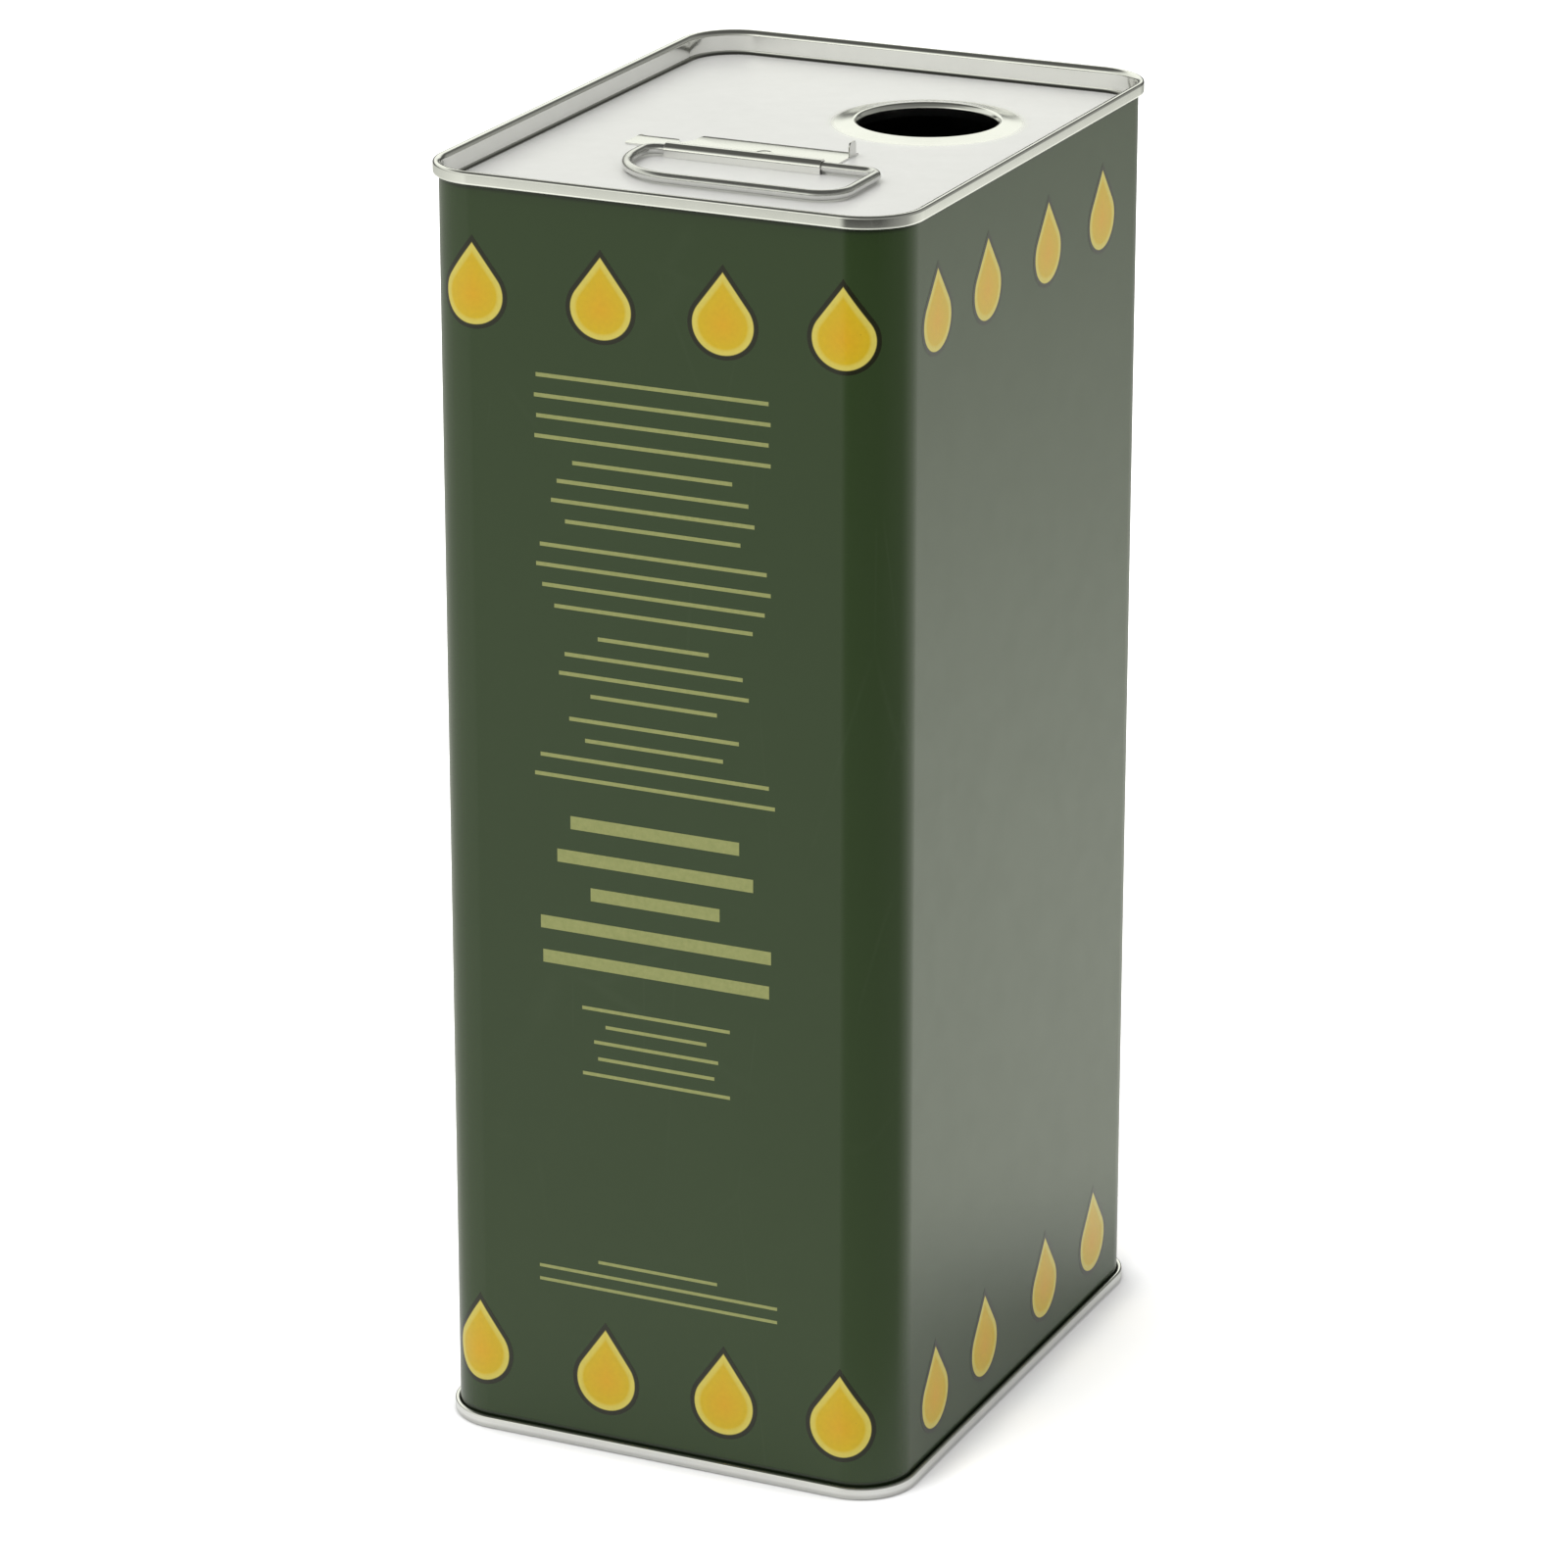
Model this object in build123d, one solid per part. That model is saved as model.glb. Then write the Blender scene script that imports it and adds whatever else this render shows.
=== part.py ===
from build123d import *
import os

# Five-litre rectangular oil can in tinplate, with an open pouring hole and a folding wire bail.
# The frame stands on the can's foot: origin under the middle of the can, +Z up, -Y the front face.

# Printed wrap, measured over its outer faces
body_width = 117.6
body_depth = 153.0
can_height = 310.0
body_corner_r = 13.0
body_sheet = 0.32
weld_width = 1.0
weld_proud = 0.15
weld_stop = 0.4

# Number of even flats that each kind of bend is made in, few in a tight one
tight_bend_count = 1
sheet_bend_count = 2
wire_heel_count = 3
wire_grip_count = 5

# Pressed ends, the same stamping above and below
end_sheet = 0.36
countersink = 6.0
chuck_bend_r = 1.4
panel_landing = 0.6

# Double seam between the wrap and an end
seam_height = 3.1
lap_gap = 0.1
seam_shoulder_r = 0.55
hook_bend_r = 0.4
hook_play = 0.3
compound_room = 0.35
compound_clearance = 0.02
compound_inset = 0.06
compound_chamfer = 0.28

# Pouring hole with its raised ring
hole_r = 16.5
hole_x = 20.0
hole_y = 30.0
ring_foot_r = 20.6
ring_crest_r = 17.2
ring_height = 0.9
ring_bend_r = 0.35
funnel_drop = 1.05
lip_length = 2.1

# Wire bail, lying towards the front
wire_r = 1.25
bail_width = 61.2
bail_reach = 24.2
bail_left_grip_r = 17.0
bail_right_grip_r = 7.0
bail_heel_r = 3.6
bail_centre_x = 2.6
bail_lift_gap = 0.3
wire_end_gap = 0.6

# Handle clip, welded to the upper panel
clip_sheet = 0.4
clip_length = 39.5
clip_centre_x = -2.25
clip_plate_depth = 18.5
clip_bend_r = 0.5
clip_running_gap = 0.1
bail_axis_y = -24.0
spot_r = 2.0
spot_sink = 0.12
flat_ear_length = 14.0
flat_ear_depth = 9.0
flat_ear_inset = 5.0
ear_notch_width = 4.0
ear_notch_depth = 3.6
ear_round_r = 1.2
stop_ear_depth = 3.5
stop_ear_height = 3.7
stop_ear_inset = 1.5
stop_ear_round_r = 1.0

# Worked out from the sizes above
panel_top = can_height - countersink
panel_middle = panel_top - end_sheet / 2
bail_axis_z = panel_top + bail_lift_gap + wire_r
body_middle_n = -body_sheet / 2
chuck_middle_n = -body_sheet - lap_gap - end_sheet / 2
end_hook_n = lap_gap + end_sheet / 2
body_hook_n = end_hook_n + end_sheet / 2 + lap_gap + body_sheet / 2
seaming_wall_n = body_hook_n + body_sheet / 2 + lap_gap + end_sheet / 2
panel_edge_n = chuck_middle_n - chuck_bend_r - panel_landing
body_rim_z = can_height - end_sheet - compound_room - body_sheet / 2
body_hook_tip_z = can_height - seam_height + end_sheet + hook_play
end_hook_tip_z = body_rim_z - body_sheet / 2 - hook_play


def round_the_can(section):
    """Carry a section once round the can. It is drawn in XZ, with x = 0 on the wrap's outer face."""
    straight_x = body_width - 2 * body_corner_r
    straight_y = body_depth - 2 * body_corner_r
    corner = revolve(Pos(body_corner_r, 0, 0) * section, Axis.Z, 90)
    side = extrude(section, straight_y, dir=(0, 1, 0))
    face = extrude(Rot(0, 0, 90) * section, straight_x, dir=(-1, 0, 0))
    half = Pos(body_width / 2, -straight_y / 2, 0) * side
    half += Pos(straight_x / 2, straight_y / 2, 0) * corner
    half += Pos(straight_x / 2, body_depth / 2, 0) * face
    half += Pos(-straight_x / 2, straight_y / 2, 0) * Rot(0, 0, 90) * corner
    return half + Rot(0, 0, 180) * half


def bend_stations(before, corner, after, radius, flats):
    """Points along one bend, so that it turns from the run before to the run after in even flats."""
    bend = FilletPolyline(before, corner, after, radius=radius).edges().filter_by(GeomType.CIRCLE)[0]
    stations = [bend @ (step / flats) for step in range(flats + 1)]
    return sorted(stations, key=lambda station: (station - Vector(*before)).length)


def bent_line(points, bends):
    """Middle line of a bent sheet or wire, from its corners and the (radius, flats) of the bend at each."""
    stations = [points[0]]
    for before, corner, after, bend in zip(points, points[1:], points[2:], bends):
        stations += bend_stations(before, corner, after, *bend)
    return Polyline(*stations, points[-1])


def sheet_section(middle, sheet):
    """Section of a folded sheet in XZ, round its middle line."""
    return Plane.XZ * trace(middle, line_width=sheet)


def body_shell():
    """Printed wrap: one sheet bent round four corners, hooked outwards at both rims."""
    points = [
        (body_hook_n, can_height - body_hook_tip_z),
        (body_hook_n, can_height - body_rim_z),
        (body_middle_n, can_height - body_rim_z),
        (body_middle_n, body_rim_z),
        (body_hook_n, body_rim_z),
        (body_hook_n, body_hook_tip_z),
    ]
    shell = round_the_can(sheet_section(Polyline(*points), body_sheet))
    weld_height = can_height - 2 * (seam_height + weld_stop)
    weld = Box(weld_proud + body_sheet / 2, weld_width, weld_height)
    weld_x = -body_width / 2 - weld_proud / 2 + body_sheet / 4
    return shell + Pos(weld_x, 0, can_height / 2) * weld


def end_stamping():
    """Countersunk end, drawn as the upper one: flat panel, chuck wall and seamed edge."""
    rim_z = can_height - end_sheet / 2
    hook_z = can_height - seam_height + end_sheet / 2
    points = [
        (panel_edge_n, panel_middle),
        (chuck_middle_n, panel_middle),
        (chuck_middle_n, rim_z),
        (seaming_wall_n, rim_z),
        (seaming_wall_n, hook_z),
        (end_hook_n, hook_z),
        (end_hook_n, end_hook_tip_z),
    ]
    bends = [
        (chuck_bend_r, sheet_bend_count),
        (seam_shoulder_r, tight_bend_count),
        (seam_shoulder_r, tight_bend_count),
        (hook_bend_r, tight_bend_count),
        (hook_bend_r, tight_bend_count),
    ]
    edge = round_the_can(sheet_section(bent_line(points, bends), end_sheet))
    outline = RectangleRounded(
        body_width + 2 * panel_edge_n, body_depth + 2 * panel_edge_n, body_corner_r + panel_edge_n
    )
    return edge + Pos(0, 0, panel_top - end_sheet) * extrude(outline, end_sheet)


def bottom_end():
    """Lower end: the same stamping turned over, its seam is the foot of the can."""
    return Pos(0, 0, can_height) * Rot(180, 0, 0) * end_stamping()


def top_end():
    """Upper end, its pouring hole in a low raised ring that falls in to a straight lip."""
    lip_r = hole_r + end_sheet / 2
    crest_z = panel_middle + ring_height
    landing = ring_foot_r + panel_landing
    points = [
        (landing, panel_middle),
        (ring_foot_r, panel_middle),
        (ring_crest_r, crest_z),
        (lip_r, crest_z - funnel_drop),
        (lip_r, crest_z - funnel_drop - lip_length),
    ]
    middle = bent_line(points, 3 * [(ring_bend_r, tight_bend_count)])
    ring = revolve(sheet_section(middle, end_sheet), Axis.Z, 360)
    cut = Pos(0, 0, panel_middle) * Cylinder(landing, 2 * end_sheet)
    return end_stamping() - Pos(hole_x, hole_y, 0) * cut + Pos(hole_x, hole_y, 0) * ring


def seam_compound():
    """Sealing compound under the upper seam's crown, cast as one ring of rubber."""
    width = body_hook_n - body_middle_n + body_sheet - 2 * compound_inset
    height = compound_room - 2 * compound_clearance
    blank = Rectangle(width, height)
    blank = chamfer(blank.vertices().group_by(Axis.Y)[-1], compound_chamfer)
    centre_n = (body_middle_n + body_hook_n) / 2
    centre_z = can_height - end_sheet - compound_room / 2
    return round_the_can(Plane.XZ * Pos(centre_n, centre_z, 0) * blank)


def lower_seam_compound():
    """The same ring of compound in the lower seam."""
    return Pos(0, 0, can_height) * Rot(180, 0, 0) * seam_compound()


def handle_clip():
    """Strip spot-welded to the panel, its front edge rolled over the bail's straight side."""
    roll_r = wire_r + clip_running_gap + clip_sheet / 2
    plate_z = panel_top + clip_sheet / 2
    heel_y = bail_axis_y + roll_r
    rear_y = heel_y + clip_plate_depth
    plate = FilletPolyline(
        (rear_y, plate_z), (heel_y, plate_z), (heel_y, bail_axis_z), radius=clip_bend_r
    )
    roll = CenterArc((bail_axis_y, bail_axis_z), roll_r, 0, 180)
    leg = Line((bail_axis_y - roll_r, bail_axis_z), (bail_axis_y - roll_r, panel_top))
    section = Plane.YZ * trace(plate + roll + leg, line_width=clip_sheet)
    left_x = clip_centre_x - clip_length / 2
    strip = Pos(left_x, 0, 0) * extrude(section, clip_length, dir=(1, 0, 0))
    spot = Pos(clip_centre_x, (heel_y + rear_y) / 2, panel_top + clip_sheet)
    strip -= spot * Cylinder(spot_r, 2 * spot_sink)
    return strip + flat_ear(left_x, rear_y) + stop_ear(left_x + clip_length, rear_y)


def flat_ear(left_x, rear_y):
    """Tongue that runs out along the panel at the strip's left end, past a V-shaped notch."""
    back_y = rear_y - flat_ear_inset
    front_y = back_y - flat_ear_depth
    tip_x = left_x - flat_ear_length
    outline = make_face(Polyline(
        (left_x + clip_sheet, front_y),
        (left_x + clip_sheet, back_y),
        (left_x, back_y),
        (left_x - ear_notch_width / 2, back_y - ear_notch_depth),
        (left_x - ear_notch_width, back_y),
        (tip_x, back_y),
        (tip_x, front_y),
        close=True,
    ))
    tip = outline.vertices().group_by(Axis.X)[0]
    return Pos(0, 0, panel_top) * extrude(fillet(tip, ear_round_r), clip_sheet)


def stop_ear(right_x, rear_y):
    """Small ear turned up at the strip's right end."""
    tab = Rectangle(stop_ear_depth, stop_ear_height)
    tab = fillet(tab.vertices().group_by(Axis.Y)[-1], stop_ear_round_r)
    centre_y = rear_y - stop_ear_inset - stop_ear_depth / 2
    place = Plane.YZ * Pos(centre_y, panel_top + stop_ear_height / 2, right_x - clip_sheet)
    return extrude(place * tab, clip_sheet, dir=(1, 0, 0))


def handle_bail():
    """Wire bent into a rounded loop, its two ends butting inside the clip's roll."""
    left_x = bail_centre_x - bail_width / 2 + wire_r
    right_x = bail_centre_x + bail_width / 2 - wire_r
    grip_y = bail_axis_y - bail_reach
    points = [
        (bail_centre_x + wire_end_gap / 2, bail_axis_y),
        (right_x, bail_axis_y),
        (right_x, grip_y),
        (left_x, grip_y),
        (left_x, bail_axis_y),
        (bail_centre_x - wire_end_gap / 2, bail_axis_y),
    ]
    heel = (bail_heel_r, wire_heel_count)
    right_grip = (bail_right_grip_r, wire_grip_count)
    left_grip = (bail_left_grip_r, wire_grip_count)
    path = Pos(0, 0, bail_axis_z) * bent_line(points, [heel, right_grip, left_grip, heel])
    end_face = Plane(origin=path @ 0, z_dir=path % 0)
    return sweep(end_face * Circle(wire_r), path=path, transition=Transition.RIGHT)


parts = {
    "body_shell": body_shell(),
    "top_end": top_end(),
    "bottom_end": bottom_end(),
    "top_seam_compound": seam_compound(),
    "bottom_seam_compound": lower_seam_compound(),
    "handle_clip": handle_clip(),
    "handle_bail": handle_bail(),
}

os.makedirs("parts", exist_ok=True)
for name, shape in parts.items():
    export_step(shape, f"parts/{name}.step")
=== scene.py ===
import math
import bmesh
import bpy
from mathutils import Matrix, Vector


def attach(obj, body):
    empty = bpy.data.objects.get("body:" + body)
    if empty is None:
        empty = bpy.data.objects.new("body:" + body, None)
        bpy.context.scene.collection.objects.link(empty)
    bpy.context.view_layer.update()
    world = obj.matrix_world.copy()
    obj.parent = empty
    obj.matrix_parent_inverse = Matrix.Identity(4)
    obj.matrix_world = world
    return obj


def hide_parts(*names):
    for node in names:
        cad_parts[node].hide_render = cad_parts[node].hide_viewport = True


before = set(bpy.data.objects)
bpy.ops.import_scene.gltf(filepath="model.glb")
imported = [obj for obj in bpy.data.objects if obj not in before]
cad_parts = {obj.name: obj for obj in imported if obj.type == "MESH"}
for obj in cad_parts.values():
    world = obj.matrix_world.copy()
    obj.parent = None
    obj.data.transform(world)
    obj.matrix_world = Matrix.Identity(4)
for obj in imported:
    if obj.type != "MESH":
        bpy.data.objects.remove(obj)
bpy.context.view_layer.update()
MM = 0.001

# Camera. It stands a little to the right of the front face and looks down on the can through
# a long lens, with the can slightly right of the middle of the square picture.
camera_azimuth = math.radians(24.7707)
camera_elevation = math.radians(19.6241)
camera_distance = 1.553088
camera_lens = 148.7227
camera_shift_right = -3.0059 * MM
camera_shift_up = -8.4826 * MM
aim_height = 155.0 * MM

back = Vector((
    math.sin(camera_azimuth) * math.cos(camera_elevation),
    -math.cos(camera_azimuth) * math.cos(camera_elevation),
    math.sin(camera_elevation),
))
right = Vector((math.cos(camera_azimuth), math.sin(camera_azimuth), 0.0))
camera = bpy.data.objects.new("camera", bpy.data.cameras.new("camera"))
camera.data.lens = camera_lens
camera.data.sensor_width = 36.0
camera.data.clip_start = 0.05
camera.data.clip_end = 50.0
camera.location = (
    back * camera_distance
    + right * camera_shift_right
    + back.cross(right) * camera_shift_up
    + Vector((0.0, 0.0, aim_height))
)
camera.rotation_mode = "QUATERNION"
camera.rotation_quaternion = (-back).to_track_quat("-Z", "Y")
bpy.context.scene.collection.objects.link(camera)
bpy.context.scene.camera = camera
bpy.context.scene.view_settings.view_transform = "Standard"


# Printed wrap. The real one is a single sheet of lithographed tinplate, bent round four
# corners, welded down the left side, and hooked outwards at both rims into the double seams.
# Its printing is a dark green ink under gloss varnish, with a bare margin beside the weld.
can_width = 117.6 * MM
can_depth = 153.0 * MM
can_height = 310.0 * MM
corner_radius = 13.0 * MM
corner_steps = 18
wrap_sheet = 0.32 * MM
wrap_hook_n = 0.72 * MM
wrap_rim_below_top = 0.87 * MM
wrap_hook_tip_below_top = 2.44 * MM
wrap_hook_bend = 0.22 * MM
weld_margin = 3.5 * MM
# Painted shade under the seams: the print is darkened to this tone up to the first distance from each end,
# fading out by the second.
seam_shade_start = 3.4 * MM
seam_shade_end = 4.4 * MM
seam_shade_tone = 0.22
margin_blur = 0.1 * MM
left_face_x = -0.48 * can_width
sheet_bend_steps = 6


def bent_sheet(corners, bends, sheet, steps):
    """Left and right faces of a bent sheet's section, from its middle line's corners and bend radii."""
    corners = [Vector(corner) for corner in corners]
    stations = [(corners[0], (corners[1] - corners[0]).normalized())]
    for before, corner, after, radius in zip(corners, corners[1:], corners[2:], bends):
        run_in = (corner - before).normalized()
        run_out = (after - corner).normalized()
        turn = run_in.angle_signed(run_out)
        reach = radius * math.tan(abs(turn) / 2)
        side = -1 if turn > 0 else 1
        centre = corner - run_in * reach + Vector((-run_in.y, run_in.x)) * radius * side
        for step in range(steps + 1):
            swing = -turn * step / steps
            heading = Vector((
                run_in.x * math.cos(swing) - run_in.y * math.sin(swing),
                run_in.x * math.sin(swing) + run_in.y * math.cos(swing),
            ))
            stations.append((centre - Vector((-heading.y, heading.x)) * radius * side, heading))
    stations.append((corners[-1], (corners[-1] - corners[-2]).normalized()))
    left = [point + Vector((-way.y, way.x)) * sheet / 2 for point, way in stations]
    right_face = [point - Vector((-way.y, way.x)) * sheet / 2 for point, way in stations]
    return left, right_face


def section_mesh(name, chains):
    """Mesh of edges alone. Each chain is (points in n and z, value of the ink mark at each, closed)."""
    verts, edges, marks = [], [], []
    for points, ink, closed in chains:
        start = len(verts)
        verts += [(n, -z, 0.0) for n, z in points]
        marks += ink
        edges += [(start + i, start + i + 1) for i in range(len(points) - 1)]
        if closed:
            edges.append((len(verts) - 1, start))
    mesh = bpy.data.meshes.new(name)
    mesh.from_pydata(verts, edges, [])
    mesh.attributes.new("ink", "FLOAT", "POINT").data.foreach_set("value", marks)
    return mesh


def new_tree(name, inputs):
    """Empty geometry tree with named inputs, and its group nodes."""
    tree = bpy.data.node_groups.new(name, "GeometryNodeTree")
    tree.interface.new_socket("Geometry", in_out="INPUT", socket_type="NodeSocketGeometry")
    for label, kind in inputs:
        tree.interface.new_socket(label, in_out="INPUT", socket_type="NodeSocket" + kind)
    tree.interface.new_socket("Geometry", in_out="OUTPUT", socket_type="NodeSocketGeometry")
    return tree, tree.nodes.new("NodeGroupInput"), tree.nodes.new("NodeGroupOutput")


def chain(tree, *steps):
    """Nodes wired one after another by the given sockets: (type, input socket, output socket, settings)."""
    made, previous = [], None
    for kind, socket_in, socket_out, settings in steps:
        node = tree.nodes.new(kind)
        for key, value in settings.items():
            if key in node.inputs:
                node.inputs[key].default_value = value
            else:
                setattr(node, key, value)
        if previous is not None:
            tree.links.new(previous, node.inputs[socket_in])
        previous = node.outputs[socket_out]
        made.append(node)
    return made


def can_outline(tree, group_in):
    """Nodes for the rounded outline of the can's wrap, with its normals turned outwards."""
    outline, fillet, turned = chain(
        tree,
        ("GeometryNodeCurvePrimitiveQuadrilateral", 0, 0, {}),
        ("GeometryNodeFilletCurve", "Curve", 0, {"mode": "POLY"}),
        ("GeometryNodeSetCurveNormal", "Curve", 0, {"mode": "Z_UP"}),
    )
    tree.links.new(group_in.outputs["Width"], outline.inputs["Width"])
    tree.links.new(group_in.outputs["Depth"], outline.inputs["Height"])
    tree.links.new(group_in.outputs["Corner Radius"], fillet.inputs["Radius"])
    tree.links.new(group_in.outputs["Corner Steps"], fillet.inputs["Count"])
    return turned.outputs[0]


def finish_tree(tree, group_in, group_out, geometry):
    """Closes a tree with smooth shading, real geometry in place of instances, and the material."""
    smooth = tree.nodes.new("GeometryNodeSetShadeSmooth")
    real = tree.nodes.new("GeometryNodeRealizeInstances")
    coat = tree.nodes.new("GeometryNodeSetMaterial")
    tree.links.new(geometry, smooth.inputs["Geometry"])
    tree.links.new(smooth.outputs[0], real.inputs["Geometry"])
    tree.links.new(real.outputs[0], coat.inputs["Geometry"])
    tree.links.new(group_in.outputs["Finish"], coat.inputs["Material"])
    tree.links.new(coat.outputs[0], group_out.inputs[0])


outline_inputs = [
    ("Width", "Float"), ("Depth", "Float"), ("Corner Radius", "Float"), ("Corner Steps", "Int"),
    ("Finish", "Material"),
]
round_can_tree, tree_in, tree_out = new_tree("section_round_can", outline_inputs)
section_curve = round_can_tree.nodes.new("GeometryNodeMeshToCurve")
section_sweep = round_can_tree.nodes.new("GeometryNodeCurveToMesh")
round_can_tree.links.new(tree_in.outputs["Geometry"], section_curve.inputs[0])
round_can_tree.links.new(can_outline(round_can_tree, tree_in), section_sweep.inputs["Curve"])
round_can_tree.links.new(section_curve.outputs[0], section_sweep.inputs["Profile Curve"])
finish_tree(round_can_tree, tree_in, tree_out, section_sweep.outputs[0])


def grow(tree, base, settings):
    """Plain mesh that a tree makes from a base mesh, once its named inputs are set."""
    carrier = bpy.data.objects.new("carrier", base)
    bpy.context.scene.collection.objects.link(carrier)
    modifier = carrier.modifiers.new("make", "NODES")
    modifier.node_group = tree
    for item in tree.interface.items_tree:
        if item.in_out == "INPUT" and item.name in settings:
            modifier[item.identifier] = settings[item.name]
    graph = bpy.context.evaluated_depsgraph_get()
    mesh = bpy.data.meshes.new_from_object(
        carrier.evaluated_get(graph), preserve_all_data_layers=True, depsgraph=graph
    )
    bpy.data.objects.remove(carrier)
    return mesh


def make_piece(name, mesh, body, nodes=(), crease=35.0, even=True):
    """Object for a finished mesh, creased by angle, that rides on a body and stands for CAD nodes."""
    mesh.name = name
    mesh.set_sharp_from_angle(angle=math.radians(crease))
    piece = bpy.data.objects.new(name, mesh)
    bpy.context.scene.collection.objects.link(piece)
    if even:
        weighted = piece.modifiers.new("even_shading", "WEIGHTED_NORMAL")
        weighted.keep_sharp = True
    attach(piece, body)
    if nodes:
        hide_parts(*nodes)
    return piece


def wiring(tree):
    """Helper that adds a node to a tree, sets its settings, and wires its inputs by name or number."""
    def add(kind, settings=None, wires=None):
        node = tree.nodes.new(kind)
        for key, value in (settings or {}).items():
            if isinstance(key, int) or key in node.inputs:
                node.inputs[key].default_value = value
            else:
                setattr(node, key, value)
        for key, source in (wires or {}).items():
            tree.links.new(source, node.inputs[key])
        return node

    return add


def graded(add, source, low, high, start=0.0, end=1.0):
    """Value that runs from low to high while its source runs from start to end."""
    return add(
        "ShaderNodeMapRange", {"From Min": start, "From Max": end, "To Min": low, "To Max": high},
        {"Value": source},
    ).outputs[0]


def blended(add, mask, first, second):
    """Colour that runs from the first to the second as a mask runs from 0 to 1."""
    return add(
        "ShaderNodeMix", {"data_type": "RGBA", 6: (*first, 1.0), 7: (*second, 1.0)}, {0: mask}
    ).outputs[2]


def reckoned(add, operation, *terms):
    """Result of a sum on one to three terms, each of them a number or a socket."""
    numbers = {i: term for i, term in enumerate(terms) if isinstance(term, (int, float))}
    sockets = {i: term for i, term in enumerate(terms) if i not in numbers}
    return add("ShaderNodeMath", {"operation": operation, **numbers}, sockets).outputs[0]


def new_finish(name):
    """Node material with its Principled shader, and the helper that adds to it."""
    finish = bpy.data.materials.new(name)
    finish.use_nodes = True
    shader = next(node for node in finish.node_tree.nodes if node.type == "BSDF_PRINCIPLED")
    return finish, shader, wiring(finish.node_tree), finish.node_tree.links


def dress(shader, links, tone, gloss, relief):
    """Wires a finish's colour, gloss and fine relief to its shader."""
    links.new(tone, shader.inputs["Base Color"])
    links.new(gloss, shader.inputs["Roughness"])
    links.new(relief, shader.inputs["Normal"])


def new_effect(name, inputs, outputs):
    """Shader group with named inputs and outputs, its group nodes, and the helper that adds to it."""
    group = bpy.data.node_groups.new(name, "ShaderNodeTree")
    for label, kind, value in inputs:
        socket = group.interface.new_socket(label, in_out="INPUT", socket_type="NodeSocket" + kind)
        socket.default_value = value
    for label in outputs:
        group.interface.new_socket(label, in_out="OUTPUT", socket_type="NodeSocketFloat")
    start, end = group.nodes.new("NodeGroupInput"), group.nodes.new("NodeGroupOutput")
    return group, start.outputs, end.inputs, wiring(group)


# Fine scratches that handling and stacking leave, used on print and on bare metal alike.
scratches, given, result, add = new_effect(
    "handling_scratches",
    [("Vector", "Vector", (0.0, 0.0, 0.0)), ("Scale", "Float", 60.0), ("Amount", "Float", 0.5)],
    ["Mask", "Height"],
)
cells = []
for stretch, turn in (((1.0, 0.08, 0.16), (0.3, 0.5, 0.6)), ((0.1, 1.0, 0.2), (0.7, -0.4, 1.1))):
    laid = add("ShaderNodeMapping", {"Scale": stretch, "Rotation": turn}, {"Vector": given["Vector"]})
    cells.append(add(
        "ShaderNodeTexVoronoi", {"feature": "DISTANCE_TO_EDGE"},
        {"Vector": laid.outputs[0], "Scale": given["Scale"]},
    ))
nearest = reckoned(add, "MINIMUM", cells[0].outputs[0], cells[1].outputs[0])
thin = graded(add, nearest, 1.0, 0.0, end=0.012)
patches = add("ShaderNodeTexNoise", {"Scale": 35.0, "Detail": 3.0}, {"Vector": given["Vector"]})
places = graded(add, patches.outputs[0], 0.0, 1.0, start=0.5, end=0.68)
dosed = reckoned(add, "MULTIPLY", reckoned(add, "MULTIPLY", thin, places), given["Amount"])
scratches.links.new(dosed, result["Mask"])
scratches.links.new(reckoned(add, "MULTIPLY", dosed, -1.0), result["Height"])

# Slow unevenness of thin sheet, and the soft mottling of what lies on it.
sheet_cloud, given, result, add = new_effect(
    "sheet_cloud",
    [("Vector", "Vector", (0.0, 0.0, 0.0)), ("Scale", "Float", 12.0)],
    ["Cloud", "Mottle"],
)
slow = add(
    "ShaderNodeTexNoise", {"Detail": 1.5, "Roughness": 0.4},
    {"Vector": given["Vector"], "Scale": given["Scale"]},
)
faster = reckoned(add, "MULTIPLY", given["Scale"], 14.0)
mottle = add(
    "ShaderNodeTexNoise", {"Detail": 4.0, "Roughness": 0.6},
    {"Vector": given["Vector"], "Scale": faster},
)
sheet_cloud.links.new(slow.outputs[0], result["Cloud"])
sheet_cloud.links.new(mottle.outputs[0], result["Mottle"])

print_green, shader, add, links = new_finish("printed_green")
place = add("ShaderNodeTexCoord").outputs["Object"]
ink_mark = add("ShaderNodeAttribute", {"attribute_name": "ink"}).outputs["Fac"]
cloud = add("ShaderNodeGroup", {"node_tree": sheet_cloud, "Scale": 9.0}, {"Vector": place})
scuff = add(
    "ShaderNodeGroup", {"node_tree": scratches, "Scale": 40.0, "Amount": 0.06}, {"Vector": place}
)
axes = add("ShaderNodeSeparateXYZ", wires={0: place}).outputs
off_weld = reckoned(add, "ABSOLUTE", axes["Y"])
past_margin = graded(
    add, off_weld, 0.0, 1.0, start=weld_margin - margin_blur, end=weld_margin + margin_blur
)
off_left_side = reckoned(add, "GREATER_THAN", axes["X"], left_face_x)
inked = reckoned(add, "MAXIMUM", past_margin, off_left_side)
ink_mark = reckoned(add, "MULTIPLY", ink_mark, inked)
ink_tone = blended(add, cloud.outputs["Cloud"], (0.0190, 0.0400, 0.0078), (0.0235, 0.0470, 0.0100))
ink_scuffed = add(
    "ShaderNodeMix", {"data_type": "RGBA", 7: (0.08, 0.11, 0.06, 1.0)},
    {0: scuff.outputs["Mask"], 6: ink_tone},
)
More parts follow.
